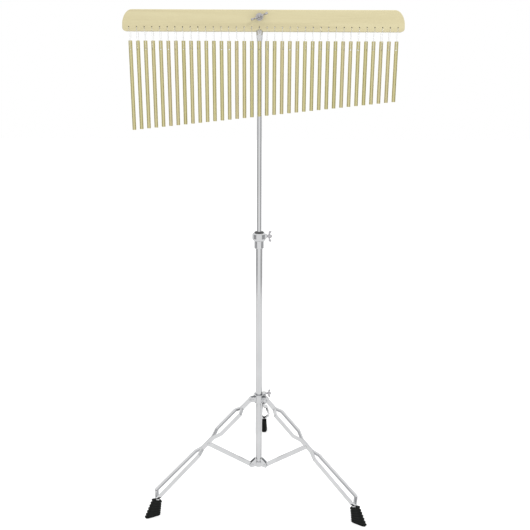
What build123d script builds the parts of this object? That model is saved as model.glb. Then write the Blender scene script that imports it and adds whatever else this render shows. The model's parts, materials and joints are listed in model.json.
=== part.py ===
from build123d import *
import os
from math import sin, cos, tan, radians, degrees, atan2, hypot, sqrt, pi

os.makedirs("parts", exist_ok=True)

# Bar chimes (mark tree) on a tripod stand, millimetres, +Z up.
# Everything is drawn about the stand's axis (X = Y = 0) and moved at the end so
# that the origin is the bottom centre of the whole object's box.

# ---- chimes -------------------------------------------------------------
CHIMES = 36
PITCH = 19.05
CHIME_D = 9.525
CHIME_LONG = 220.0
CHIME_SHORT = 147.0
CHIME_CHAMFER = 0.6
CHIME_TOP_Z = 1278.0
CHIME_HOLE_D = 3.4
CHIME_HOLE_DROP = 20.5
CHIME_TURN = 20.0          # largest turn of a chime's cross hole about its own axis
AXIS_CHIME = 18            # this chime hangs in front of the mast
# ---- mantle ---------------------------------------------------------------
MANTLE_L = 700.0
MANTLE_T = 22.0
MANTLE_BACK_Y = -4.0
MANTLE_BOTTOM_Z = 1300.0
MANTLE_TOP_Z = 1351.0
MANTLE_TOP_RX = 26.0       # elliptic shoulders
MANTLE_TOP_RZ = 38.0
MANTLE_LOW_R = 8.0
MANTLE_EDGE_R = 1.8
STRING_HOLE_D = 3.0
STRING_HOLE_Z = 1310.0
NOTCH_W = 16.5
NOTCH_H = 5.5
BOLT_Z = 1334.0
BOLT_D = 6.0
# ---- suspension loops -------------------------------------------------------
LOOP_D = 0.8
# ---- mast (upper tube) -------------------------------------------------------
MAST_D = 12.7
MAST_WALL = 1.2
MAST_BOTTOM_Z = 620.0
MAST_FLAT_W = 17.2
MAST_FLAT_T = 4.8
MAST_NECK_Z = 1271.0
MAST_FLAT_Z = 1302.0
MAST_TOP_Z = 1346.0
# ---- column (lower tube), clamp, bush ------------------------------------------
COL_D = 19.05
COL_WALL = 1.2
COL_BOTTOM_Z = 67.0
COL_TOP_Z = 776.0
SLEEVE_D = 26.6
SLEEVE_Z0 = 740.5
RING_D = 37.0
RING_Z0 = 762.5
RING_Z1 = 783.0
BUSH_FLANGE_D = 25.6
BUSH_FLANGE_Z1 = 786.2
BUSH_BOTTOM_Z = 730.0
CLAMP_SCREW_Z = 774.5
# ---- tripod ------------------------------------------------------------------
TRIPOD_TURN = 2.5
PIVOT_R = 24.0
HUB_Z = 76.0
COLLAR_Z = 290.0
MID_R = 162.0
MID_Z = 183.0
LINK = hypot(MID_R - PIVOT_R, MID_Z - HUB_Z)
STRAP_DEPTH = 10.0
STRAP_W = 4.6
STRAP_T = 1.2
STRAP_GAP = 0.1            # half of the seam where the two straps meet
STRAP_RISE = 2.2           # leg centre line above its pivots
BOW_UP = 18.5              # half width of the upper bow
BOW_LOW0 = 15.5            # half width where the lower bow starts
BOW_LOW1 = 19.0            # half width at its lower end
TOE_S = 190.0              # where the leg bends down into its foot
TOE_TILT = 16.0
TOE_LEN = 46.0
TOE_PINCH0 = 3.0           # the straps close over this stretch of the toe
TOE_PINCH1 = 17.0
BRACE_W = 6.2
BRACE_DEPTH = 11.5
BRACE_T = 1.2
PIN_D = 4.0
EAR_T = 2.0
COLLAR_D = 28.6
COLLAR_LIP_D = 32.0
COLLAR_Z0 = 278.5
COLLAR_Z1 = 302.5
COLLAR_SCREW_Z = 304.0
# ---- joints --------------------------------------------------------------------
LEGS = {"rear": 90.0 - TRIPOD_TURN, "left": 210.0 - TRIPOD_TURN, "right": 330.0 - TRIPOD_TURN}

nodes = {}


def chime_x(i):
    return PITCH * (i - AXIS_CHIME)


def chime_len(i):
    return CHIME_LONG - (CHIME_LONG - CHIME_SHORT) * (i - 1) / (CHIMES - 1)


def chime_turn(i):
    return CHIME_TURN * sin(2.4 * i + 0.7)


def tube(d, wall, z0, z1):
    return Pos(0, 0, z0) * extrude(Circle(d / 2) - Circle(d / 2 - wall), z1 - z0)


def rod(d, z0, z1):
    return Pos(0, 0, z0) * extrude(Circle(d / 2), z1 - z0)


def along(part, origin, direction, x_dir=None):
    """Place a part drawn along +Z so that its axis runs from origin along direction."""
    pl = Plane(origin=origin, z_dir=direction) if x_dir is None else Plane(origin=origin, x_dir=x_dir, z_dir=direction)
    return pl.location * part


# ---- chimes and loops -------------------------------------------------------------
CHIME_Y = MANTLE_BACK_Y - MANTLE_T / 2
HOLE_Z = CHIME_TOP_Z - CHIME_HOLE_DROP
for i in range(1, CHIMES + 1):
    length = chime_len(i)
    bar = extrude(Circle(CHIME_D / 2), length)
    bar = chamfer(bar.edges().filter_by(GeomType.CIRCLE), CHIME_CHAMFER)
    hole = Pos(0, 0, length - CHIME_HOLE_DROP) * Rot(90, 0, 0) * Cylinder(CHIME_HOLE_D / 2, 2 * CHIME_D)
    bar = Rot(0, 0, chime_turn(i)) * (bar - hole)
    nodes["chime_%02d" % i] = Pos(chime_x(i), CHIME_Y, CHIME_TOP_Z - length) * bar


def loop(i):
    """One nylon loop: through the mantle's hole, down both faces, through the chime."""
    x, t = chime_x(i), radians(chime_turn(i))
    front, back = MANTLE_BACK_Y - MANTLE_T - 0.55, MANTLE_BACK_Y + 0.55
    zt = STRING_HOLE_Z - STRING_HOLE_D / 2 + LOOP_D / 2 + 0.08
    zl = MANTLE_BOTTOM_Z + 1.0
    zc = HOLE_Z + CHIME_HOLE_D / 2 - LOOP_D / 2 - 0.35
    reach = CHIME_D / 2 + 0.7
    dx, dy = reach * sin(t), reach * cos(t)
    mid = CHIME_Y
    pts = [(x, mid - 0.4, zt), (x, front, zt), (x, front, zl),
           (x + dx, CHIME_Y - dy, zc), (x - dx, CHIME_Y + dy, zc),
           (x, back, zl), (x, back, zt), (x, mid + 0.4, zt)]
    path = FilletPolyline(*pts, radius=[0.6, 4.0, 0.6, 0.6, 4.0, 0.6])
    face = Plane(origin=path @ 0, z_dir=path % 0) * Circle(LOOP_D / 2)
    return sweep(face, path=path)


nodes["nylon_loops"] = Compound(children=[loop(i).solid() for i in range(1, CHIMES + 1)])

# ---- mantle ----------------------------------------------------------------------
cx = PITCH / 2
x0, x1 = cx - MANTLE_L / 2, cx + MANTLE_L / 2
zb, zt = MANTLE_BOTTOM_Z, MANTLE_TOP_Z
outline = [
    Line((x0 + MANTLE_LOW_R, zb), (x1 - MANTLE_LOW_R, zb)),
    RadiusArc((x1 - MANTLE_LOW_R, zb), (x1, zb + MANTLE_LOW_R), -MANTLE_LOW_R),
    Line((x1, zb + MANTLE_LOW_R), (x1, zt - MANTLE_TOP_RZ)),
    EllipticalCenterArc((x1 - MANTLE_TOP_RX, zt - MANTLE_TOP_RZ), MANTLE_TOP_RX, MANTLE_TOP_RZ, start_angle=0, arc_size=90),
    Line((x1 - MANTLE_TOP_RX, zt), (x0 + MANTLE_TOP_RX, zt)),
    EllipticalCenterArc((x0 + MANTLE_TOP_RX, zt - MANTLE_TOP_RZ), MANTLE_TOP_RX, MANTLE_TOP_RZ, start_angle=90, arc_size=90),
    Line((x0, zt - MANTLE_TOP_RZ), (x0, zb + MANTLE_LOW_R)),
    RadiusArc((x0, zb + MANTLE_LOW_R), (x0 + MANTLE_LOW_R, zb), -MANTLE_LOW_R),
]
board = Plane.XZ * make_face(Wire([e.edge() for e in outline]))
board = extrude(board, MANTLE_T)
board = Pos(0, MANTLE_BACK_Y, 0) * board
bb = board.bounding_box()
if bb.max.Y > MANTLE_BACK_Y + 0.01:
    board = Pos(0, -MANTLE_T, 0) * board
board = fillet(board.faces().filter_by(Axis.Y).edges(), MANTLE_EDGE_R)
notch = Plane.XZ * (Pos(0, zb) * Ellipse(NOTCH_W / 2, NOTCH_H))
board -= Pos(0, MANTLE_BACK_Y + 2, 0) * extrude(notch, MANTLE_T + 6)
for i in range(1, CHIMES + 1):
    board -= Pos(chime_x(i), CHIME_Y, STRING_HOLE_Z) * Rot(90, 0, 0) * Cylinder(STRING_HOLE_D / 2, MANTLE_T + 4)
board -= Pos(0, CHIME_Y, BOLT_Z) * Rot(90, 0, 0) * Cylinder(BOLT_D / 2 + 0.2, MANTLE_T + 4)
nodes["mantle"] = board

front_y = MANTLE_BACK_Y - MANTLE_T
washer = extrude(Circle(9) - Circle(BOLT_D / 2 + 0.2), 1.6)
nodes["mantle_washer"] = along(washer, (0, front_y, BOLT_Z), (0, -1, 0))

# ---- wing profile shared by the wing nut and the two wing screws ----------------------


def wings(span, root_z, thick, lobe, lift):
    """Two wings in the XZ plane of a screw whose axis is +Z; span is tip to tip."""
    h = span / 2
    pts = [(2.5, root_z), (h - lobe * 1.5, root_z + lift), (h - lobe * 0.5, root_z + lift + 0.2),
           (h, root_z + lift + lobe * 0.6), (h - 0.3, root_z + lift + lobe * 1.6),
           (h - lobe * 0.8, root_z + lift + lobe * 1.9), (h - lobe * 1.5, root_z + lift + lobe * 1.2),
           (4.5, root_z + lobe * 1.25), (2.5, root_z + lobe * 1.25)]
    one = Plane.XZ * make_face(Polyline(*pts, close=True))
    one = extrude(one, thick / 2, both=True)
    one = fillet(one.edges().filter_by(Axis.Y), 1.0)
    one = fillet(one.faces().filter_by(Axis.Y).edges(), 0.45)
    return one + Rot(0, 0, 180) * one


def wing_hub(r0, r1, h):
    hub = extrude(Circle(r0), h, taper=degrees(atan2(r0 - r1, h)))
    return fillet(hub.edges().sort_by(Axis.Z)[-1:], 0.9)


nut = wing_hub(7.0, 5.6, 9.0) + wings(44.6, 1.5, 3.2, 5.6, 5.0)
nut -= Cylinder(BOLT_D / 2 + 0.1, 60)
nodes["mantle_wing_nut"] = along(Rot(0, 0, 0) * nut, (0, front_y - 1.7, BOLT_Z), (0, -1, 0),
                                 (cos(radians(22)), 0, sin(radians(22))))

# ---- bolt and its rear spacer washer -------------------------------------------------
bolt = rod(BOLT_D, 0, 44.5) + Pos(0, 0, -4) * extrude(RegularPolygon(5.77, 6), 4)
bolt = chamfer(bolt.edges().sort_by(Axis.Z)[-1:], 0.7)
spacer = Pos(0, 0, MAST_FLAT_T) * extrude(Circle(7.5) - Circle(BOLT_D / 2 + 0.05), -MANTLE_BACK_Y - MAST_FLAT_T / 2)
nodes["mantle_bolt"] = Compound(children=[
    along(bolt, (0, MAST_FLAT_T / 2, BOLT_Z), (0, -1, 0)).solid(),
    along(spacer, (0, MAST_FLAT_T / 2, BOLT_Z), (0, -1, 0)).solid()])

# ---- mast: round tube whose top is pressed flat ---------------------------------------


NECK_STEPS = 6
NECK_FACET = 14.0          # half angle of the round section's front and back arcs, degrees


def round_section(d):
    """A circle in four arcs, so that it lofts cleanly into a slot's four edges."""
    r, a = d / 2, NECK_FACET
    arcs = [CenterArc((0, 0), r, 90 - a, 2 * a), CenterArc((0, 0), r, 90 + a, 180 - 2 * a),
            CenterArc((0, 0), r, 270 - a, 2 * a), CenterArc((0, 0), r, 270 + a, 180 - 2 * a)]
    return make_face(Wire([arc.edge() for arc in arcs]))


def neck_section(u):
    """Section of the mast's pressed neck, from the round tube at u = 0 to the flat at u = 1."""
    ease = u * u * (3 - 2 * u)
    w = MAST_D + (MAST_FLAT_W - MAST_D) * ease
    t = MAST_D + (MAST_FLAT_T - MAST_D) * (0.15 * u + 0.85 * ease)
    face = SlotOverall(w, t) if u else round_section(MAST_D)
    return Pos(0, 0, MAST_NECK_Z + (MAST_FLAT_Z - MAST_NECK_Z) * u) * face


mast = Pos(0, 0, MAST_BOTTOM_Z) * extrude(round_section(MAST_D), MAST_NECK_Z - MAST_BOTTOM_Z)
mast += loft([neck_section(k / NECK_STEPS) for k in range(NECK_STEPS + 1)])
flat = Pos(0, 0, MAST_FLAT_Z) * extrude(SlotOverall(MAST_FLAT_W, MAST_FLAT_T), MAST_TOP_Z - MAST_FLAT_Z)
top_round = Pos(0, MAST_TOP_Z - MAST_FLAT_W / 2) * Circle(MAST_FLAT_W / 2)
below_round = MAST_TOP_Z - MAST_FLAT_W / 2 - MAST_FLAT_Z
top_round += Pos(0, MAST_FLAT_Z + below_round / 2) * Rectangle(MAST_FLAT_W, below_round)
mast += flat & extrude(Plane.XZ * top_round, MAST_FLAT_W, both=True)
mast -= rod(MAST_D - 2 * MAST_WALL, MAST_BOTTOM_Z - 1, MAST_NECK_Z - 4)
mast -= Pos(0, 0, BOLT_Z) * Rot(90, 0, 0) * Cylinder(BOLT_D / 2 + 0.1, 30)
nodes["mast"] = mast

# ---- column, clamp, bush --------------------------------------------------------------
nodes["column"] = tube(COL_D, COL_WALL, COL_BOTTOM_Z, COL_TOP_Z)

rc = COL_D / 2
prof = [
    (rc, SLEEVE_Z0), (SLEEVE_D / 2 - 0.8, SLEEVE_Z0), (SLEEVE_D / 2, SLEEVE_Z0 + 0.8), (SLEEVE_D / 2, RING_Z0 - 1.5),
    (RING_D / 2 - 2.6, RING_Z0), (RING_D / 2 - 0.6, RING_Z0 + 2.6), (RING_D / 2, RING_Z0 + 5.5),
    (RING_D / 2, RING_Z1 - 6.0), (RING_D / 2 - 0.7, RING_Z1 - 2.8), (RING_D / 2 - 3.0, RING_Z1 - 0.4),
    (RING_D / 2 - 4.0, RING_Z1), (rc - COL_WALL + 0.2, RING_Z1), (rc - COL_WALL + 0.2, COL_TOP_Z), (rc, COL_TOP_Z)]
clamp = revolve(Plane.XZ * make_face(Polyline(*prof, close=True)), Axis.Z)
SCREW_AZ = -8.0
sdir = (cos(radians(SCREW_AZ)), sin(radians(SCREW_AZ)), 0)
boss = Pos(0, 0, 15.0) * extrude(Circle(6.2), 7.0)
clamp += along(fillet(boss.edges().sort_by(Axis.Z)[-1:], 1.0), (0, 0, CLAMP_SCREW_Z), sdir)
clamp -= along(Pos(0, 0, rc + 0.6) * extrude(Circle(3.2), 40), (0, 0, CLAMP_SCREW_Z), sdir)
nodes["height_clamp"] = clamp

bush = rod(2 * (rc - COL_WALL) - 0.2, BUSH_BOTTOM_Z, RING_Z1 + 0.2) \
    + Pos(0, 0, RING_Z1 + 0.2) * extrude(Circle(BUSH_FLANGE_D / 2), BUSH_FLANGE_Z1 - RING_Z1 - 0.2)
bush = fillet(bush.edges().sort_by(Axis.Z)[-1:], 1.6)
bush -= rod(MAST_D + 0.2, BUSH_BOTTOM_Z - 1, BUSH_FLANGE_Z1 + 1)
nodes["clamp_bush"] = bush


def wing_screw(shank0, hub0, hub1, span, thick, lobe, lift):
    """Wing screw along +Z: shank from shank0, hub from hub0 to hub1 with a domed end."""
    s = rod(6.0, shank0, hub0 + 1)
    hub = Pos(0, 0, hub0) * extrude(Circle(4.4), hub1 - hub0)
    hub = fillet(hub.edges().sort_by(Axis.Z)[-1:], 3.2)
    return s + hub + Pos(0, 0, 0) * wings(span, hub0 + 0.8, thick, lobe, lift)


screw = wing_screw(rc + 0.8, 24.5, 35.0, 31.0, 2.6, 4.2, 1.0)
nodes["clamp_wing_screw"] = along(screw, (0, 0, CLAMP_SCREW_Z), sdir, (0, 0, 1))

# ---- tripod: helpers in a leg's own vertical plane -------------------------------------


def in_leg(part, az):
    """Place a part drawn with x = outward radius, y = sideways, z = up."""
    return Rot(0, 0, az) * part


dr, dz = (MID_R - PIVOT_R) / LINK, (MID_Z - COLLAR_Z) / LINK      # down the leg
nr, nz = -dz, dr                                                  # square to it, up and outward
LEAN = degrees(atan2(-dz, dr))
# leg frame: x down the leg from the middle pivot, y sideways, z square to the leg
leg_frame = Plane(origin=(MID_R, 0, MID_Z), x_dir=(dr, 0, dz), z_dir=(nr, 0, nz))


def offset_poly(pts, o):
    """Offset an open polyline sideways by o (positive to its left)."""
    out = []
    for k, p in enumerate(pts):
        dirs = []
        if k > 0:
            q = pts[k - 1]
            d = hypot(p[0] - q[0], p[1] - q[1])
            dirs.append(((p[0] - q[0]) / d, (p[1] - q[1]) / d))
        if k < len(pts) - 1:
            q = pts[k + 1]
            d = hypot(q[0] - p[0], q[1] - p[1])
            dirs.append(((q[0] - p[0]) / d, (q[1] - p[1]) / d))
        ns = [(-d[1], d[0]) for d in dirs]
        if len(ns) == 1:
            out.append((p[0] + o * ns[0][0], p[1] + o * ns[0][1]))
        else:
            bx, by = ns[0][0] + ns[1][0], ns[0][1] + ns[1][1]
            m = hypot(bx, by)
            c = (bx * ns[0][0] + by * ns[0][1]) / m
            out.append((p[0] + o * bx / m / c, p[1] + o * by / m / c))
    return out


def turns(pts):
    out = []
    for a, b, c in zip(pts, pts[1:], pts[2:]):
        out.append((b[0] - a[0]) * (c[1] - b[1]) - (b[1] - a[1]) * (c[0] - b[0]))
    return out


def band(pts, o0, o1, bend):
    """Flat face between two offsets of a bent path, with concentric bends."""
    a, b = offset_poly(pts, o0), offset_poly(pts, o1)
    ts = turns(pts)
    ra = [bend - o0 if t > 0 else bend + o0 for t in ts]
    rb = [bend - o1 if t > 0 else bend + o1 for t in ts]
    wa = FilletPolyline(*a, radius=ra)
    wb = FilletPolyline(*b, radius=rb)
    edges = list(wa.edges()) + [Line(wa @ 1, wb @ 1).edge()] + list(wb.edges()) + [Line(wb @ 0, wa @ 0).edge()]
    return make_face(Wire(edges))


S_TOP = -LINK - 5.0
FULL = STRAP_GAP + STRAP_W
strap_path = [(S_TOP, FULL), (-138.0, FULL), (-121.0, BOW_UP), (-45.0, BOW_UP), (-21.0, FULL),
              (20.0, FULL), (41.0, BOW_LOW0), (TOE_S + 25, BOW_LOW1)]
toe_bow = BOW_LOW0 + (BOW_LOW1 - BOW_LOW0) * (TOE_S - 41.0) / (TOE_S + 25 - 41.0)
toe_path = [(-25.0, toe_bow), (TOE_PINCH0, toe_bow), (TOE_PINCH1, FULL), (TOE_LEN, FULL)]
BEND = 7.5


def channel(path):
    """U-channel along a bent path in the XY plane: web on its left, lips to its right."""
    z_lo = -STRAP_DEPTH / 2
    block = Pos(0, 0, z_lo) * extrude(band(path, 0, -STRAP_W, BEND), STRAP_DEPTH)
    inside = extrude(band(path, -STRAP_T, -STRAP_W - 0.05, BEND), STRAP_DEPTH - 2 * STRAP_T)
    return block - Pos(0, 0, z_lo + STRAP_T) * inside


def strap(side):
    """One U-channel strap: web outside, lips towards its twin, with a toe that bends down."""
    u = Pos(0, 0, STRAP_RISE) * channel(strap_path)
    # the lower lip is cut back where the brace folds in between the straps
    lip_z = STRAP_RISE - STRAP_DEPTH / 2
    u -= Pos((28 - 11) / 2, 0, lip_z) * Box(39, 2 * (FULL - STRAP_T), 2 * STRAP_T + 0.6)
    # rounded upper end
    end = Pos(-LINK + 5, 0, STRAP_RISE) * Rot(90, 0, 0) * Cylinder(STRAP_DEPTH / 2 + 5.0, 40) \
        + Pos(-LINK + 5 + 200, 0, STRAP_RISE) * Box(400, 40, 40)
    u = u & end
    # the leg and its toe meet in a mitre
    turn = 90 - LEAN - TOE_TILT
    beyond = Pos(TOE_S, 0, STRAP_RISE) * Rot(0, turn / 2, 0) * Pos(60, 0, 0) * Box(120, 80, 120)
    toe = Pos(TOE_S, 0, STRAP_RISE) * Rot(0, turn, 0) * channel(toe_path)
    u = (u - beyond) + (toe & beyond)
    return u if side > 0 else mirror(u, Plane.XZ)


def pin(width, head_d, head_h, d=PIN_D):
    """Pivot pin along Y with two domed heads outside width."""
    p = Rot(90, 0, 0) * Cylinder(d / 2, width)
    for s in (1, -1):
        h = extrude(Circle(head_d / 2), head_h)
        h = fillet(h.edges().sort_by(Axis.Z)[-1:], head_h * 0.8)
        p += Pos(0, s * width / 2, 0) * Rot(-90 * s, 0, 0) * h
    return p


leg_w = 2 * FULL
mid_pin = pin(leg_w, 8.0, 1.6)
top_pin = Rot(90, 0, 0) * Cylinder(PIN_D / 2, leg_w)
straps = []
for side in (1, -1):
    u = strap(side)
    u -= Rot(90, 0, 0) * Cylinder(PIN_D / 2, 60)
    u -= Pos(-LINK, 0, 0) * Rot(90, 0, 0) * Cylinder(PIN_D / 2, 60)
    straps.append(u)
leg_parts = [leg_frame.location * s for s in straps]
leg_parts.append(leg_frame.location * mid_pin)
leg_parts.append(leg_frame.location * (Pos(-LINK, 0, 0) * top_pin))

# foot: rubber boot, drawn in the leg's plane
toe_r = MID_R + dr * TOE_S + nr * STRAP_RISE
toe_z = MID_Z + dz * TOE_S + nz * STRAP_RISE
BOOT_SOLE = (333.8, 0.0, 43.5, 17.6, 0.0)        # radius, height, length, width, tilt
BOOT_RIM = (318.5, 46.5, 26.0, 15.0, 22.0)
BOOT_CORNER = 5.0
POCKET_DEPTH = 24.0


def boot():
    """Tapering boot from a flat sole to a tilted rim, with a pocket for the leg's toe."""
    secs = []
    for share in (0.0, 0.5, 1.0):
        out, up, length, width, tilt = [a + (b - a) * share for a, b in zip(BOOT_SOLE, BOOT_RIM)]
        plane = Plane(origin=(out, 0, up)).rotated((0, -tilt, 0))
        secs.append(plane * RectangleRounded(length, width, BOOT_CORNER))
    body = loft(secs)
    reach = (toe_z - BOOT_RIM[1] + POCKET_DEPTH) / cos(radians(TOE_TILT))
    pocket = Box(STRAP_DEPTH + 0.1, leg_w + 0.1, 120)
    pocket = Pos(toe_r, 0, toe_z) * Rot(0, -TOE_TILT, 0) * Pos(0, 0, 60 - reach) * pocket
    return body - pocket


foot = boot()

# brace: U channel, open below, rounded ends
b_mid = Plane(origin=(MID_R, 0, MID_Z), x_dir=((PIVOT_R - MID_R) / LINK, 0, (HUB_Z - MID_Z) / LINK), z_dir=(-nr, 0, nz))


def brace():
    side = Plane.XZ * (Pos(LINK / 2, 0) * SlotOverall(LINK + BRACE_DEPTH, BRACE_DEPTH))
    blk = extrude(side, BRACE_W / 2, both=True)
    core = Pos(LINK / 2, 0, -BRACE_T - 1) * Box(LINK + 30, BRACE_W - 2 * BRACE_T, BRACE_DEPTH + 2)
    b = blk - core
    for s in (0, LINK):
        b -= Pos(s, 0, 0) * Rot(90, 0, 0) * Cylinder(PIN_D / 2 + 0.05, 40)
    return b


brace_part = b_mid.location * brace()

# collar: sleeve with flared lips and three pairs of ears
EAR_IN = leg_w / 2 + 0.35
rk = COL_D / 2 + 0.15
prof = [
    (rk, COLLAR_Z0), (COLLAR_LIP_D / 2 - 0.6, COLLAR_Z0), (COLLAR_LIP_D / 2, COLLAR_Z0 + 0.8),
    (COLLAR_LIP_D / 2 - 0.2, COLLAR_Z0 + 2.0), (COLLAR_D / 2, COLLAR_Z0 + 3.6), (COLLAR_D / 2, COLLAR_Z1 - 3.6),
    (COLLAR_LIP_D / 2 - 0.2, COLLAR_Z1 - 2.0), (COLLAR_LIP_D / 2, COLLAR_Z1 - 0.8), (COLLAR_LIP_D / 2 - 0.8, COLLAR_Z1),
    (rk + 1.6, COLLAR_Z1), (rk, COLLAR_Z1 - 1.6)]
collar = revolve(Plane.XZ * make_face(Polyline(*prof, close=True)), Axis.Z)
for az in LEGS.values():
    ear2d = Pos(PIVOT_R, COLLAR_Z) * Circle(7.0) + Pos((PIVOT_R + 10) / 2, COLLAR_Z) * Rectangle(PIVOT_R - 10, 14.0)
    ear = extrude(Plane.XZ * ear2d, EAR_T)
    for y in (EAR_IN + EAR_T, -EAR_IN):
        collar += in_leg(Pos(0, y, 0) * ear, az)
COLLAR_SCREW_AZ = 1.0
cdir = (cos(radians(COLLAR_SCREW_AZ)), sin(radians(COLLAR_SCREW_AZ)), 0)
knob = Pos(0, 0, 10.5) * extrude(Circle(5.6), 10.0)
knob = fillet(knob.edges().sort_by(Axis.Z)[-1:], 1.6)
collar += along(knob, (0, 0, COLLAR_SCREW_Z), cdir)
collar -= rod(2 * rk, COLLAR_Z0 - 20, COLLAR_Z1 + 40)
collar -= along(Pos(0, 0, 9) * extrude(Circle(3.2), 40), (0, 0, COLLAR_SCREW_Z), cdir)
nodes["leg_collar"] = collar
rivets = []
for az in LEGS.values():
    for s in (1, -1):
        h = fillet(extrude(Circle(4.0), 1.6).edges().sort_by(Axis.Z)[-1:], 1.2)
        h = Pos(PIVOT_R, s * (EAR_IN + EAR_T), COLLAR_Z) * Rot(-90 * s, 0, 0) * h
        rivets.append(in_leg(h, az).solid())
nodes["collar_rivets"] = Compound(children=rivets)
cscrew = wing_screw(COL_D / 2 + 0.6, 26.0, 35.5, 24.0, 2.4, 3.4, 0.8)
tilt = radians(-20)
nodes["collar_wing_screw"] = along(cscrew, (0, 0, COLLAR_SCREW_Z), cdir, (0, sin(tilt), cos(tilt)))

# hub: pressed spider on the column's lower end
HEAR_IN = BRACE_W / 2 + 0.35
hub = Pos(0, 0, 68.5) * extrude(Circle(13.0) - Circle(rc), 15.0)
hub = fillet(hub.edges().filter_by(GeomType.CIRCLE).group_by(Axis.Z)[-1].sort_by(lambda e: e.radius)[-1:], 1.5)
for az in LEGS.values():
    tri = make_face(Polyline((rc + 0.2, 69.5), (29.0, 69.5), (31.0, 72.0), (31.0, 80.5), (29.0, 82.6), (12.0, 94.0), (rc + 0.2, 94.0), close=True))
    ear = extrude(Plane.XZ * tri, EAR_T)
    for y in (HEAR_IN + EAR_T, -HEAR_IN):
        hub += in_leg(Pos(0, y, 0) * ear, az)
hub -= rod(COL_D, 60, 110)
for az in LEGS.values():
    hub -= in_leg(Pos(PIVOT_R, 0, HUB_Z) * Rot(90, 0, 0) * Cylinder(PIN_D / 2, 60), az)
    # room for the brace's rounded end
    hub -= in_leg(Pos(PIVOT_R, 0, HUB_Z) * Rot(90, 0, 0) * Cylinder(BRACE_DEPTH / 2 + 0.5, 2 * HEAR_IN), az)
nodes["hub"] = hub
hub_pin = pin(2 * (HEAR_IN + EAR_T), 8.0, 1.6)
nodes["hub_rivets"] = Compound(children=[in_leg(Pos(PIVOT_R, 0, HUB_Z) * hub_pin, az).solid() for az in LEGS.values()])

for name, az in LEGS.items():
    nodes["leg_" + name] = Compound(children=[in_leg(p, az).solid() for p in leg_parts])
    nodes["brace_" + name] = in_leg(brace_part, az)
    nodes["foot_" + name] = in_leg(foot, az)

# ---- move the origin to the bottom centre and write the parts ---------------------------
boxes = [n.bounding_box() for n in nodes.values()]
lo = [min(getattr(b.min, a) for b in boxes) for a in "XYZ"]
hi = [max(getattr(b.max, a) for b in boxes) for a in "XYZ"]
shift = (-(lo[0] + hi[0]) / 2, -(lo[1] + hi[1]) / 2, -lo[2])
print("box size", [round(h - l, 3) for l, h in zip(lo, hi)], "stand axis at", [round(v, 3) for v in shift])
for name, shape in nodes.items():
    export_step(Pos(*shift) * shape, "parts/%s.step" % name)
print(len(nodes), "nodes, link", round(LINK, 3), "lean from vertical", round(90 - LEAN, 3))
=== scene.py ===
"""Looks of a set of bar chimes on a tripod stand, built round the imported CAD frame. Metres, +Z up."""

import json
import math

import bmesh
import bpy
from mathutils import Matrix, Vector


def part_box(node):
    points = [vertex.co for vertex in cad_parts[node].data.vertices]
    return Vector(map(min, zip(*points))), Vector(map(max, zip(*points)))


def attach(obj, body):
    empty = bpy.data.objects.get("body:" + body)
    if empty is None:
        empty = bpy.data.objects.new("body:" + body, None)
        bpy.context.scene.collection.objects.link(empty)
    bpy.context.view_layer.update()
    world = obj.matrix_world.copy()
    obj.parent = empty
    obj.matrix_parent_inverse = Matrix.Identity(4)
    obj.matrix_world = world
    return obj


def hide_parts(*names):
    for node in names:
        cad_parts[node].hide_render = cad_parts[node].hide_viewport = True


MM = 0.001
CHIMES = 36
LEGS = ("rear", "left", "right")

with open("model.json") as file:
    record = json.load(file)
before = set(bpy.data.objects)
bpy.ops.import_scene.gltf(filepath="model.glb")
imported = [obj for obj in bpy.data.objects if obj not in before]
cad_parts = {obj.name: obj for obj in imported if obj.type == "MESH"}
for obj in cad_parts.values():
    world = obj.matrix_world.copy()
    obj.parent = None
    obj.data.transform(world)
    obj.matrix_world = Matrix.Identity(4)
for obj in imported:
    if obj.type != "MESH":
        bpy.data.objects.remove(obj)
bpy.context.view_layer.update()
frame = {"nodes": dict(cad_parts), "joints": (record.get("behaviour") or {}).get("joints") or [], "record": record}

joints = {j["name"]: j for j in frame["joints"]}
column_low, column_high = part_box("column")
mantle_low, mantle_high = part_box("mantle")
bolt_low, bolt_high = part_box("mantle_bolt")
AXIS = Vector(((column_low.x + column_high.x) / 2, (column_low.y + column_high.y) / 2, 0))

# ---- camera ----------------------------------------------------------------------------
CAMERA_PLACE = AXIS + Vector((0.0287, -1.7726, 1.1838))
CAMERA_LENS = 45.27        # on a sensor 36 mm wide
CAMERA_PITCH = 0.2706      # radians below the horizon
CAMERA_YAW = -0.0070
CAMERA_ROLL = -0.0045


def add_camera():
    """The camera, at the viewing angle of the picture that the model follows."""
    data = bpy.data.cameras.new("camera")
    data.sensor_width, data.lens = 36.0, CAMERA_LENS
    data.clip_start, data.clip_end = 0.05, 100.0
    flat = math.cos(CAMERA_PITCH)
    ahead = Vector((math.sin(CAMERA_YAW) * flat, math.cos(CAMERA_YAW) * flat, -math.sin(CAMERA_PITCH)))
    right = Vector((math.cos(CAMERA_YAW), -math.sin(CAMERA_YAW), 0))
    down = ahead.cross(right)
    side = right * math.cos(CAMERA_ROLL) + down * math.sin(CAMERA_ROLL)
    lower = down * math.cos(CAMERA_ROLL) - right * math.sin(CAMERA_ROLL)
    turn = Matrix((side, -lower, -ahead)).transposed().to_4x4()
    camera = bpy.data.objects.new("camera", data)
    bpy.context.scene.collection.objects.link(camera)
    camera.matrix_world = Matrix.Translation(CAMERA_PLACE) @ turn
    bpy.context.scene.camera = camera


# ---- light and floor --------------------------------------------------------------------
WORLD_LEVEL = 1.0
FLOOR_GLOW = 0.22          # lifts the floor to the white of the surroundings
SIDE_CARD_LEVEL = 0.42
REAR_CARD_LEVEL = 0.62


def link(obj):
    bpy.context.scene.collection.objects.link(obj)
    return obj


def facing(place, target):
    """Matrix of something at place whose -Z looks at target."""
    turn = (Vector(target) - Vector(place)).to_track_quat("-Z", "Y").to_matrix().to_4x4()
    return Matrix.Translation(Vector(place)) @ turn


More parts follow.
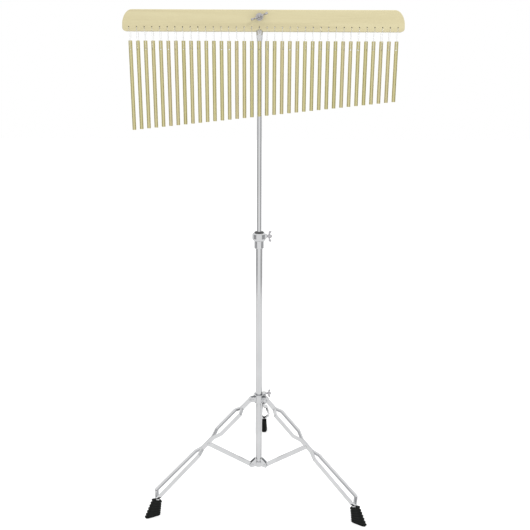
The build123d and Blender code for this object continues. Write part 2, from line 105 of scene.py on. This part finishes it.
def area_light(name, place, target, size, power):
    """A rectangular light that reflections don't see."""
    data = bpy.data.lights.new(name, "AREA")
    data.shape, data.size, data.size_y, data.energy = "RECTANGLE", size[0], size[1], power
    lamp = link(bpy.data.objects.new(name, data))
    lamp.visible_glossy = False
    lamp.matrix_world = facing(place, target)


def card(name, place, target, size, level):
    """A grey studio card that only reflections see."""
    w, h = size[0] / 2, size[1] / 2
    mesh = bpy.data.meshes.new(name)
    mesh.from_pydata([(-w, -h, 0), (w, -h, 0), (w, h, 0), (-w, h, 0)], [], [(0, 1, 2, 3)])
    mat = bpy.data.materials.new(name)
    mat.use_nodes = True
    nodes = mat.node_tree.nodes
    nodes.clear()
    glow, out = nodes.new("ShaderNodeEmission"), nodes.new("ShaderNodeOutputMaterial")
    glow.inputs["Color"].default_value = (level, level, level * 1.01, 1)
    mat.node_tree.links.new(glow.outputs[0], out.inputs["Surface"])
    mesh.materials.append(mat)
    obj = link(bpy.data.objects.new(name, mesh))
    obj.matrix_world = facing(place, target)
    obj.visible_camera = obj.visible_diffuse = obj.visible_shadow = obj.visible_transmission = False


def add_studio():
    """White surroundings, a pale floor, soft lights and grey cards that give the metal its edges.

    Reflections see the surroundings and the cards, but neither the floor nor the lights."""
    scene = bpy.context.scene
    scene.view_settings.view_transform = "Standard"
    world = bpy.data.worlds.new("studio")
    scene.world = world
    world.use_nodes = True
    back = world.node_tree.nodes["Background"]
    back.inputs["Color"].default_value = (1, 1, 1, 1)
    back.inputs["Strength"].default_value = WORLD_LEVEL

    mesh = bpy.data.meshes.new("floor")
    mesh.from_pydata([(-8, -6, 0), (8, -6, 0), (8, 12, 0), (-8, 12, 0)], [], [(0, 1, 2, 3)])
    floor = link(bpy.data.objects.new("floor", mesh))
    mat = new_material("floor_white", (0.9, 0.9, 0.9), roughness=0.9,
                       Emission_Color=(1, 1, 1, 1), Emission_Strength=FLOOR_GLOW)
    mesh.materials.append(mat)
    floor.visible_glossy = False

    top = AXIS + Vector((0, 0, 1.0))
    area_light("top_light", AXIS + Vector((-0.3, -0.2, 3.4)), AXIS, (3.0, 3.0), 30)
    area_light("key_light", AXIS + Vector((1.5, -2.2, 2.9)), top, (0.7, 0.7), 22)
    middle = AXIS + Vector((0, 0, 0.7))
    card("rear_card", AXIS + Vector((0, 3.0, -0.4)), AXIS + Vector((0, 0, -0.4)), (5.0, 3.6), REAR_CARD_LEVEL)
    for side in (-1, 1):
        card("side_card", AXIS + Vector((side * 1.9, -0.4, 0.7)), middle, (2.2, 1.44), SIDE_CARD_LEVEL)


# ---- materials ---------------------------------------------------------------------------


class Tree:
    """Short calls for the nodes of one material."""

    def __init__(self, mat):
        self.tree = mat.node_tree
        self.shader = next(n for n in self.tree.nodes if n.type == "BSDF_PRINCIPLED")
        self.coords = self.tree.nodes.new("ShaderNodeTexCoord").outputs["Object"]

    def join(self, source, target):
        self.tree.links.new(source, target)

    def stretched(self, scale):
        """Object coordinates scaled along each axis, in cells for a metre."""
        node = self.tree.nodes.new("ShaderNodeMapping")
        node.inputs["Scale"].default_value = scale
        self.join(self.coords, node.inputs["Vector"])
        return node.outputs["Vector"]

    def noise(self, scale, detail=4.0, rough=0.55, warp=0.0):
        node = self.tree.nodes.new("ShaderNodeTexNoise")
        node.inputs["Scale"].default_value = 1.0
        node.inputs["Detail"].default_value = detail
        node.inputs["Roughness"].default_value = rough
        node.inputs["Distortion"].default_value = warp
        self.join(self.stretched(scale), node.inputs["Vector"])
        return node.outputs["Fac"]

    def cells(self, scale):
        node = self.tree.nodes.new("ShaderNodeTexVoronoi")
        node.inputs["Scale"].default_value = 1.0
        self.join(self.stretched(scale), node.inputs["Vector"])
        return node.outputs["Color"]

    def ramp(self, fac, *stops):
        """Colours or grey levels at places from 0 to 1."""
        node = self.tree.nodes.new("ShaderNodeValToRGB")
        band = node.color_ramp
        while len(band.elements) < len(stops):
            band.elements.new(0.5)
        for element, (place, value) in zip(band.elements, stops):
            element.position = place
            element.color = (*value, 1) if hasattr(value, "__len__") else (value, value, value, 1)
        self.join(fac, node.inputs["Fac"])
        return node.outputs["Color"]

    def mix(self, fac, a, b, mode="MIX"):
        node = self.tree.nodes.new("ShaderNodeMix")
        node.data_type, node.blend_type = "RGBA", mode
        if isinstance(fac, float):
            node.inputs[0].default_value = fac
        else:
            self.join(fac, node.inputs[0])
        self.join(a, node.inputs[6])
        self.join(b, node.inputs[7])
        return node.outputs[2]

    def bump(self, height, depth, strength=1.0, under=None):
        node = self.tree.nodes.new("ShaderNodeBump")
        node.inputs["Strength"].default_value = strength
        node.inputs["Distance"].default_value = depth
        self.join(height, node.inputs["Height"])
        if under:
            self.join(under, node.inputs["Normal"])
        return node.outputs["Normal"]

    def set(self, **sockets):
        for name, source in sockets.items():
            self.join(source, self.shader.inputs[name.replace("_", " ")])


def new_material(name, color, metallic=0.0, roughness=0.5, **more):
    """A Principled material whose constant values sit on the shader's own sockets."""
    mat = bpy.data.materials.new(name)
    mat.use_nodes = True
    shader = next(n for n in mat.node_tree.nodes if n.type == "BSDF_PRINCIPLED")
    shader.inputs["Base Color"].default_value = (*color, 1)
    shader.inputs["Metallic"].default_value = metallic
    shader.inputs["Roughness"].default_value = roughness
    for socket, value in more.items():
        shader.inputs[socket.replace("_", " ")].default_value = value
    return mat


def chrome_material():
    """Bright plating with faint waviness, haze and a little handling smear."""
    mat = new_material("chrome_plate", (0.66, 0.665, 0.675), metallic=1.0, roughness=0.1)
    t = Tree(mat)
    smear = t.noise((22, 22, 9), detail=5, warp=0.6)
    haze = t.noise((300, 300, 60), detail=3)
    t.set(Base_Color=t.ramp(smear, (0.25, (0.62, 0.625, 0.635)), (0.75, (0.70, 0.705, 0.715))))
    t.set(Roughness=t.ramp(t.mix(0.35, smear, haze), (0.3, 0.07), (0.7, 0.19)))
    t.set(Normal=t.bump(t.noise((60, 60, 30), detail=2), 0.0002, 0.12))
    return mat


def gold_material():
    """Anodised aluminium bar: drawn lines along the bar, and a shade that differs from bar to bar."""
    mat = new_material("anodised_gold", (0.6, 0.54, 0.28), metallic=1.0, roughness=0.3, Anisotropic=0.35)
    t = Tree(mat)
    batch = t.noise((41, 0.3, 0.4), detail=1)
    shade = t.ramp(batch, (0.30, (0.66, 0.605, 0.30)), (0.5, (0.72, 0.66, 0.35)), (0.70, (0.72, 0.64, 0.37)))
    drawn = t.noise((2600, 2600, 14), detail=4, rough=0.6)
    lines = t.ramp(drawn, (0.30, (0.86, 0.86, 0.86)), (0.70, (1.0, 1.0, 1.0)))
    t.set(Base_Color=t.mix(1.0, shade, lines, mode="MULTIPLY"))
    rub = t.noise((120, 120, 24), detail=4, warp=0.4)
    t.set(Roughness=t.ramp(t.mix(0.5, drawn, rub), (0.3, 0.22), (0.7, 0.38)))
    t.set(Normal=t.bump(drawn, 0.00006, 0.35))
    return mat


def wood_material():
    """Pale close-grained pine under satin lacquer, grain along the board."""
    mat = new_material("pale_pine", (0.535, 0.478, 0.287), roughness=0.45,
                       Coat_Weight=0.25, Coat_Roughness=0.3)
    t = Tree(mat)
    rings = t.noise((2.2, 26, 95), detail=3, rough=0.5, warp=0.5)
    fibre = t.noise((28, 600, 1900), detail=5, rough=0.65)
    tone = t.ramp(rings, (0.32, (0.50, 0.445, 0.265)), (0.46, (0.535, 0.478, 0.287)),
                  (0.66, (0.555, 0.50, 0.305)))
    streak = t.ramp(fibre, (0.30, (0.955, 0.95, 0.935)), (0.62, (1.0, 1.0, 1.0)))
    fleck_shape = t.noise((150, 900, 2600), detail=1)
    fleck = t.ramp(fleck_shape, (0.70, (1.0, 1.0, 1.0)), (0.80, (0.90, 0.87, 0.81)))
    t.set(Base_Color=t.mix(1.0, t.mix(1.0, tone, streak, mode="MULTIPLY"), fleck, mode="MULTIPLY"))
    t.set(Roughness=t.ramp(fibre, (0.3, 0.52), (0.7, 0.38)))
    t.set(Normal=t.bump(fibre, 0.00012, 0.35, under=t.bump(rings, 0.0004, 0.15)))
    return mat


def rubber_material():
    """Moulded black rubber, slightly dusty, with a fine matt grain."""
    mat = new_material("black_rubber", (0.009, 0.010, 0.009), roughness=0.55, Specular_IOR_Level=0.12)
    t = Tree(mat)
    dust = t.noise((70, 70, 50), detail=6, rough=0.7)
    t.set(Base_Color=t.ramp(dust, (0.35, (0.004, 0.005, 0.004)), (0.75, (0.010, 0.011, 0.011))))
    t.set(Roughness=t.ramp(dust, (0.3, 0.42), (0.7, 0.62)))
    t.set(Normal=t.bump(t.noise((2200, 2200, 2200), detail=3), 0.00012, 0.5))
    return mat


def bush_material():
    """Machined black nylon with fine turning lines."""
    mat = new_material("black_nylon", (0.03, 0.03, 0.03), roughness=0.35)
    t = Tree(mat)
    turned = t.noise((20, 20, 3000), detail=3)
    t.set(Base_Color=t.ramp(turned, (0.3, (0.022, 0.022, 0.023)), (0.7, (0.045, 0.045, 0.046))))
    t.set(Roughness=t.ramp(turned, (0.3, 0.3), (0.7, 0.45)))
    t.set(Normal=t.bump(turned, 0.00008, 0.3))
    return mat


def line_material():
    """Clear nylon line, a little milky."""
    mat = new_material("nylon_line", (0.80, 0.82, 0.85), roughness=0.2, Transmission_Weight=0.5, IOR=1.45)
    t = Tree(mat)
    milk = t.noise((900, 900, 220), detail=3)
    t.set(Base_Color=t.ramp(milk, (0.3, (0.80, 0.81, 0.83)), (0.7, (0.88, 0.885, 0.895))))
    t.set(Roughness=t.ramp(milk, (0.3, 0.14), (0.7, 0.32)))
    return mat


def zinc_material():
    """Zinc plate on a cast surface: soft mottling and small pits."""
    mat = new_material("zinc_plate", (0.50, 0.49, 0.51), metallic=1.0, roughness=0.3)
    t = Tree(mat)
    crystals = t.cells((700, 700, 700))
    cloud = t.noise((150, 150, 150), detail=5, rough=0.6)
    tone = t.ramp(t.mix(0.25, cloud, crystals), (0.3, (0.38, 0.37, 0.39)), (0.7, (0.62, 0.61, 0.63)))
    t.set(Base_Color=tone)
    t.set(Roughness=t.ramp(cloud, (0.3, 0.2), (0.7, 0.42)))
    t.set(Normal=t.bump(t.noise((1400, 1400, 1400), detail=3), 0.0001, 0.35))
    return mat


def paint_cad(materials):
    """Every CAD node gets the finish of its material slot."""
    slots = {s["node"]: s["material_slot"] for s in frame["record"]["subparts"]}
    for name, node in frame["nodes"].items():
        node.data.materials.clear()
        node.data.materials.append(materials[slots[name]])


# ---- mesh helpers --------------------------------------------------------------------------


def mesh_object(name, points, faces, mat):
    """A smooth-shaded mesh that takes its finish from one of the record's slots."""
    mesh = bpy.data.meshes.new(name)
    mesh.from_pydata([tuple(p) for p in points], [], faces)
    mesh.validate()
    bm = bmesh.new()
    bm.from_mesh(mesh)
    bmesh.ops.recalc_face_normals(bm, faces=bm.faces)
    bm.to_mesh(mesh)
    bm.free()
    for polygon in mesh.polygons:
        polygon.use_smooth = True
    mesh.materials.append(mat)
    obj = link(bpy.data.objects.new(name, mesh))
    return obj


def skin(rings, first=0):
    """Faces between rings of equal length, and one over each end; first is the first point's index."""
    n, faces = len(rings[0]), []
    for k in range(len(rings) - 1):
        a, b = first + k * n, first + (k + 1) * n
        faces += [(a + i, a + (i + 1) % n, b + (i + 1) % n, b + i) for i in range(n)]
    last = first + (len(rings) - 1) * n
    return faces + [tuple(first + i for i in reversed(range(n))), tuple(last + i for i in range(n))]


def solid_from_rings(name, ring_sets, mat):
    """One object from several closed tubes of rings."""
    points, faces = [], []
    for rings in ring_sets:
        faces += skin(rings, first=len(points))
        points += [p for ring in rings for p in ring]
    return mesh_object(name, points, faces, mat)


def placed(rings, matrix):
    """Rings moved by a matrix."""
    return [[matrix @ Vector(p) for p in ring] for ring in rings]


def in_metres(rings):
    """Rings drawn in millimetres, in metres."""
    return [[Vector(p) * MM for p in ring] for ring in rings]


def lathe(profile, sides=64):
    """Rings about +Z through (radius, height) points."""
    angles = [2 * math.pi * i / sides for i in range(sides)]
    return [[(r * math.cos(a), r * math.sin(a), z) for a in angles] for r, z in profile]


def tube(path, radius, sides=12):
    """Rings along a path of points, carried without twist."""
    rings, side = [], None
    for k, point in enumerate(path):
        ahead = (path[min(k + 1, len(path) - 1)] - path[max(k - 1, 0)]).normalized()
        side = side or ahead.orthogonal().normalized()
        side = (side - ahead * side.dot(ahead)).normalized()
        up = ahead.cross(side)
        angles = [2 * math.pi * i / sides for i in range(sides)]
        rings.append([point + radius * (side * math.cos(a) + up * math.sin(a)) for a in angles])
    return rings


def rounded_path(corners, radius, steps=6):
    """A path through corners, each turned by a short curve of about the given radius."""
    path = [corners[0]]
    for before, corner, after in zip(corners, corners[1:], corners[2:]):
        reach = min(radius, (before - corner).length * 0.45, (after - corner).length * 0.45)
        start = corner + (before - corner).normalized() * reach
        end = corner + (after - corner).normalized() * reach
        for k in range(steps + 1):
            u = k / steps
            path.append(start * (1 - u) ** 2 + corner * (2 * u * (1 - u)) + end * u * u)
    path.append(corners[-1])
    return path


def frame_matrix(origin, z_dir, x_dir):
    """Matrix whose +Z is z_dir and whose +X is as near to x_dir as it can be."""
    z = Vector(z_dir).normalized()
    x = (Vector(x_dir) - z * Vector(x_dir).dot(z)).normalized()
    return Matrix.Translation(Vector(origin)) @ Matrix((x, z.cross(x), z)).transposed().to_4x4()


def cast(obj, voxel, smoothing):
    """Melts an object's overlapping shells into one casting with soft inner corners."""
    melt = obj.modifiers.new("melt", "REMESH")
    melt.mode, melt.voxel_size = "VOXEL", voxel
    soften = obj.modifiers.new("soften", "SMOOTH")
    soften.factor, soften.iterations = 0.5, smoothing
    graph = bpy.context.evaluated_depsgraph_get()
    mesh = bpy.data.meshes.new_from_object(obj.evaluated_get(graph))
    obj.modifiers.clear()
    obj.data = mesh
    for polygon in mesh.polygons:
        polygon.use_smooth = True
    return obj


# ---- nylon loops ------------------------------------------------------------------------------
LINE_R = 0.4 * MM
LINE_BEND = 1.1 * MM
STRING_HOLE_UP = 10 * MM        # string holes above the mantle's lower edge
STRING_HOLE_R = 1.5 * MM
CHIME_HOLE_DOWN = 20.5 * MM     # cross hole below the chime's top
CHIME_HOLE_R = 1.7 * MM
CHIME_R = 4.7625 * MM
CHIME_TURN = math.radians(20)   # largest turn of a chime's cross hole about its own axis
KNOT_SIZE = 0.42 * MM
KNOT_STEPS = 48


def loop_knot(centre, size):
    """Centre line of a trefoil knot in the line."""
    path = []
    for k in range(KNOT_STEPS + 1):
        a = 2 * math.pi * k / KNOT_STEPS
        path.append(centre + size * Vector((math.sin(a) + 2 * math.sin(2 * a), -1.2 * math.sin(3 * a),
                                            math.cos(a) - 2 * math.cos(2 * a))))
    return path


def knot_tail(knot, side):
    """Centre line of one loose end below a knot, to the left or right."""
    bend, end = Vector((side * 1.2, 0.8, -1.6)), Vector((side * 1.6, 1.5, -4.0))
    return rounded_path([knot, knot + bend * MM, knot + end * MM], 1 * MM)


def add_loop(i, mat):
    """The loop that carries chime i; it swings with the chime about the mantle's hole."""
    chime = "chime_%02d" % i
    low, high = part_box(chime)
    x, y = (low.x + high.x) / 2, (low.y + high.y) / 2
    turn = CHIME_TURN * math.sin(2.4 * i + 0.7)
    reach = CHIME_R + 0.65 * MM
    out = Vector((reach * math.sin(turn), -reach * math.cos(turn), 0))
    top = mantle_low.z + STRING_HOLE_UP - STRING_HOLE_R + LINE_R + 0.08 * MM
    edge = mantle_low.z + 1 * MM
    eye = high.z - CHIME_HOLE_DOWN + CHIME_HOLE_R - LINE_R - 0.25 * MM
    front, back = mantle_low.y - 0.5 * MM, mantle_high.y + 0.5 * MM
    centre = Vector((x, y, eye))
    corners = [Vector((x, y, top)), Vector((x, front, top)), Vector((x, front, edge)), centre + out,
               centre - out, Vector((x, back, edge)), Vector((x, back, top)), Vector((x, y, top))]
    knot = centre - out + Vector((0, 1.3, 3.2)) * MM
    shells = [tube(rounded_path(corners, LINE_BEND), LINE_R), tube(loop_knot(knot, KNOT_SIZE), LINE_R, 10)]
    shells += [tube(knot_tail(knot, side), LINE_R, 10) for side in (-1, 1)]
    piece = solid_from_rings("loop_%02d" % i, shells, mat)
    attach(piece, chime)
    return piece


# ---- wing nut, wing screws and bolt, drawn in millimetres along +Z ------------------------------
WING_FOOT = 3.0                 # the wings start this far from the axis, inside the hub
WING_STEPS = 12
CAST_VOXEL = 0.28 * MM
CAST_SMOOTHING = 3
HALF_TURN = Matrix.Rotation(math.pi, 4, "Z")

NUT_TILT = math.radians(22)
NUT_PROFILE = [(3.1, 0.3), (3.4, 0.0), (6.8, 0.0), (7.1, 0.5), (6.0, 6.5), (5.6, 8.4), (4.8, 9.0), (3.5, 9.0),
               (3.1, 8.6)]
NUT_WINGS = dict(span=44.6, root=1.5, thick=4.8, lobe=5.6, lift=5.0)
CLAMP_HUB = (24.5, 35.0)        # hub's start and end along the screw
CLAMP_WINGS = dict(span=31.0, thick=3.4, lobe=4.2, lift=1.0)
COLLAR_HUB = (26.0, 35.5)
COLLAR_WINGS = dict(span=24.0, thick=3.0, lobe=3.4, lift=0.8)

BOLT_R = 3.0
BOLT_HEAD = 4.0
BOLT_PITCH = 1.0
BOLT_THREAD = 22                # threaded length at the front end
BOLT_GROOVE = 0.42
HEAD_LAYERS = ((5.3, 0.0), (5.77, 0.5), (5.77, 3.6), (5.4, 4.0))
SPACER_PROFILE = [(3.05, 8.85), (3.05, 10.33), (7.2, 10.33), (7.5, 10.1), (7.5, 9.1), (7.2, 8.85),
                  (3.05, 8.85)]


def section(a, b, swell, sides=20):
    """An oval ring between two points of the XZ plane, swell thick to each side of it."""
    middle, half = (a + b) / 2, (b - a) / 2
    ring = []
    for i in range(sides):
        c, s = math.cos(2 * math.pi * i / sides), math.sin(2 * math.pi * i / sides)
        along = math.copysign(abs(c) ** 0.7, c)
        across = swell * math.copysign(abs(s) ** 0.7, s)
        ring.append((middle.x + half.x * along, across, middle.y + half.y * along))
    return ring


def wing_shell(span, root, thick, lobe, lift):
    """One wing in the XZ plane: a flat arm that grows into a round thick lobe."""
    h, top = span / 2, root + lift
    low = [(WING_FOOT, root), (h - lobe * 1.7, root + lift * 0.8), (h - lobe * 0.7, top),
           (h - lobe * 0.1, top + lobe * 0.5)]
    high = [(WING_FOOT, root + lobe * 1.35), (h - lobe * 1.9, top + lobe * 0.9),
            (h - lobe * 1.2, top + lobe * 1.75), (h - lobe * 0.35, top + lobe * 1.75)]
    tip = Vector((h, top + lobe * 1.15))
    rings = []
    for k in range(WING_STEPS + 1):
        u = k / WING_STEPS * (len(low) - 1)
        j = min(int(u), len(low) - 2)
        a = Vector(low[j]).lerp(Vector(low[j + 1]), u - j)
        b = Vector(high[j]).lerp(Vector(high[j + 1]), u - j)
        rings.append(section(a, b, thick * (0.8 + 0.5 * (k / WING_STEPS) ** 2) / 2))
    rings.append(section(tip - Vector((0.3, lobe * 0.35)), tip + Vector((-0.2, lobe * 0.25)), thick * 0.45))
    return in_metres(rings)


def add_wing_part(name, node, matrix, profile, wings, mat):
    """A cast hub with two wings, in place of a CAD node."""
    wing = wing_shell(**wings)
    shells = [placed(shell, matrix) for shell in (in_metres(lathe(profile)), wing, placed(wing, HALF_TURN))]
    piece = cast(solid_from_rings(name, shells, mat), CAST_VOXEL, CAST_SMOOTHING)
    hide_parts(node)
    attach(piece, node)


def add_wing_nut(mat):
    """The wing nut on the mantle's front, with its wings turned up to the right."""
    seat_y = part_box("mantle_wing_nut")[1].y
    front = Vector(((bolt_low.x + bolt_high.x) / 2, seat_y, (bolt_low.z + bolt_high.z) / 2))
    place = frame_matrix(front, (0, -1, 0), (math.cos(NUT_TILT), 0, math.sin(NUT_TILT)))
    add_wing_part("wing_nut_cast", "mantle_wing_nut", place, NUT_PROFILE, NUT_WINGS, mat)


def add_wing_screw(name, hub, wings, mat):
    """A cast wing screw: a plain shank, a hub from hub[0] to hub[1] along its axis and two wings."""
    joint = next(j for j in frame["joints"] if j["child"] == name)
    origin, ahead = Vector(joint["pos_m"]), Vector(joint["axis"])
    inner = min((v.co - origin).dot(ahead) for v in frame["nodes"][name].data.vertices) / MM
    start, end = hub
    shank = [(0.05, inner), (2.6, inner), (3.0, inner + 0.4), (3.0, start - 0.6)]
    dome = [(4.4, end - 3.2), (4.0, end - 1.6), (3.0, end - 0.5), (1.5, end), (0.05, end)]
    profile = shank + [(4.1, start), (4.4, start + 0.4)] + dome
    place = frame_matrix(origin, ahead, (0, 0, 1))
    add_wing_part(name + "_cast", name, place, profile, dict(wings, root=start + 0.8), mat)


def hexagon_ring(radius, height, per_side=8):
    """Points along a hexagon's sides."""
    corners = [Vector((radius * math.cos(math.pi / 3 * k), radius * math.sin(math.pi / 3 * k), height))
               for k in range(7)]
    return [a.lerp(b, k / per_side) for a, b in zip(corners, corners[1:]) for k in range(per_side)]


def shank_ring(h, length, sides=40):
    """Section of the bolt's shank at height h, with its thread's groove and its pointed end."""
    ring = []
    for i in range(sides):
        a = 2 * math.pi * i / sides
        phase = (h / BOLT_PITCH - i / sides) % 1.0
        groove = BOLT_GROOVE * abs(2 * phase - 1) if h > length - BOLT_THREAD else 0.0
        end = max(0.0, 0.9 - (length - h)) * 0.8
        r = BOLT_R - max(groove, end)
        ring.append((r * math.cos(a), r * math.sin(a), h))
    return ring


def add_bolt(mat):
    """Hexagon bolt with a rolled thread, and the spacer behind the mantle."""
    middle = Vector(((bolt_low.x + bolt_high.x) / 2, bolt_high.y, (bolt_low.z + bolt_high.z) / 2))
    place = frame_matrix(middle, (0, -1, 0), (1, 0, 0))
    length = (bolt_high.y - bolt_low.y) / MM
    head = [hexagon_ring(r, h) for r, h in HEAD_LAYERS]
    start = BOLT_HEAD - 0.2
    steps = int((length - BOLT_HEAD) * 8)
    shank = [shank_ring(start + (length - start) * k / steps, length) for k in range(steps + 1)]
    shells = [placed(in_metres(rings), place) for rings in (head, shank, lathe(SPACER_PROFILE))]
    bolt = solid_from_rings("mantle_bolt_threaded", shells, mat)
    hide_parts("mantle_bolt")
    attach(bolt, "mast")


# ---- rubber feet, drawn in millimetres in a leg's plane: x outward, y sideways, z up --------------
BOOT_LOW = dict(out=333.8, up=0.0, length=43.5, width=17.6, tilt=0.0)
BOOT_HIGH = dict(out=320.0, up=43.5, length=30.0, width=15.0, tilt=22.0)
SOLE_LAYERS = ((1.5, 0.0), (0.7, 0.2), (0.15, 0.7), (0.0, 1.5))        # inset and height above the floor
RIM_LAYERS = ((0.0, 0.0), (0.0, 1.2), (0.5, 2.2), (1.6, 2.9))          # and above the top section
BOOT_RIBS = 6
RIB_STEPS = 12
GROOVE_DEPTH = 3.6
SIDE_SHARE = 0.33               # the grooves are shallow on the thin side walls
MOUTH_OUT, MOUTH_UP = 319.4, 47.0
MOUTH_HALF_DEPTH, MOUTH_HALF_WIDTH = 5.4, 5.9
MOUTH_SLOPE = 0.27
MOUTH_LAYERS = ((0.0, 1.2), (0.3, 0.4), (1.5, 0.0), (6.0, 0.0))        # drop, and growth past the toe


def squarish(half_x, half_y, power, sides=72):
    """Points of a rounded rectangle; a smaller power gives squarer corners."""
    for i in range(sides):
        a = 2 * math.pi * i / sides
        c, s = math.cos(a), math.sin(a)
        yield half_x * math.copysign(abs(c) ** power, c), half_y * math.copysign(abs(s) ** power, s)


def boot_ring(u, inset, raised=0.0):
    """Section of the boot at height share u."""
    at = {k: BOOT_LOW[k] + (BOOT_HIGH[k] - BOOT_LOW[k]) * u for k in BOOT_LOW}
    tilt = math.radians(at["tilt"])
    half_l, half_w = at["length"] / 2 - inset, at["width"] / 2 - inset * SIDE_SHARE
    out, up = math.cos(tilt), math.sin(tilt)
    return [(at["out"] + x * out - raised * up, y, at["up"] + x * up + raised * out)
            for x, y in squarish(half_l, half_w, 0.5)]


def mouth_ring(drop, grow):
    """Section of the boot's mouth, close round the leg's straps."""
    tilt = math.radians(BOOT_HIGH["tilt"])
    return [(MOUTH_OUT + x * math.cos(tilt) + drop * MOUTH_SLOPE, y, MOUTH_UP + x * math.sin(tilt) - drop)
            for x, y in squarish(MOUTH_HALF_DEPTH + grow, MOUTH_HALF_WIDTH + grow, 0.3)]


def add_boot(leg, mat):
    """Ribbed rubber boot on a leg's end."""
    rings = [boot_ring(0, inset, raised) for inset, raised in SOLE_LAYERS]
    steps = BOOT_RIBS * RIB_STEPS
    for k in range(3, steps):
        wave = abs(math.cos(math.pi * BOOT_RIBS * k / steps))
        rings.append(boot_ring(k / steps, GROOVE_DEPTH * (1 - wave ** 1.6)))
    rings += [boot_ring(1, inset, raised) for inset, raised in RIM_LAYERS]
    rings += [mouth_ring(drop, grow) for drop, grow in MOUTH_LAYERS]
    axis = joints["leg_%s_hinge" % leg]["axis"]
    azimuth = math.atan2(axis[0], -axis[1])
    matrix = Matrix.Translation(AXIS) @ Matrix.Rotation(azimuth, 4, "Z")
    piece = solid_from_rings("boot_" + leg, [placed(in_metres(rings), matrix)], mat)
    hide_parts("foot_" + leg)
    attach(piece, "leg_" + leg)


# ---- build --------------------------------------------------------------------------------------------
add_camera()
add_studio()
finishes = {
    "chimes": gold_material(),
    "mantle_wood": wood_material(),
    "nylon": line_material(),
    "chrome": chrome_material(),
    "bush": bush_material(),
    "foot_rubber": rubber_material(),
    "zinc_steel": zinc_material(),
}
paint_cad(finishes)

loops = [add_loop(i, finishes["nylon"]) for i in range(1, CHIMES + 1)]
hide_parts("nylon_loops")

add_wing_nut(finishes["zinc_steel"])
add_bolt(finishes["zinc_steel"])
add_wing_screw("clamp_wing_screw", CLAMP_HUB, CLAMP_WINGS, finishes["zinc_steel"])
add_wing_screw("collar_wing_screw", COLLAR_HUB, COLLAR_WINGS, finishes["zinc_steel"])

for leg in LEGS:
    add_boot(leg, finishes["foot_rubber"])
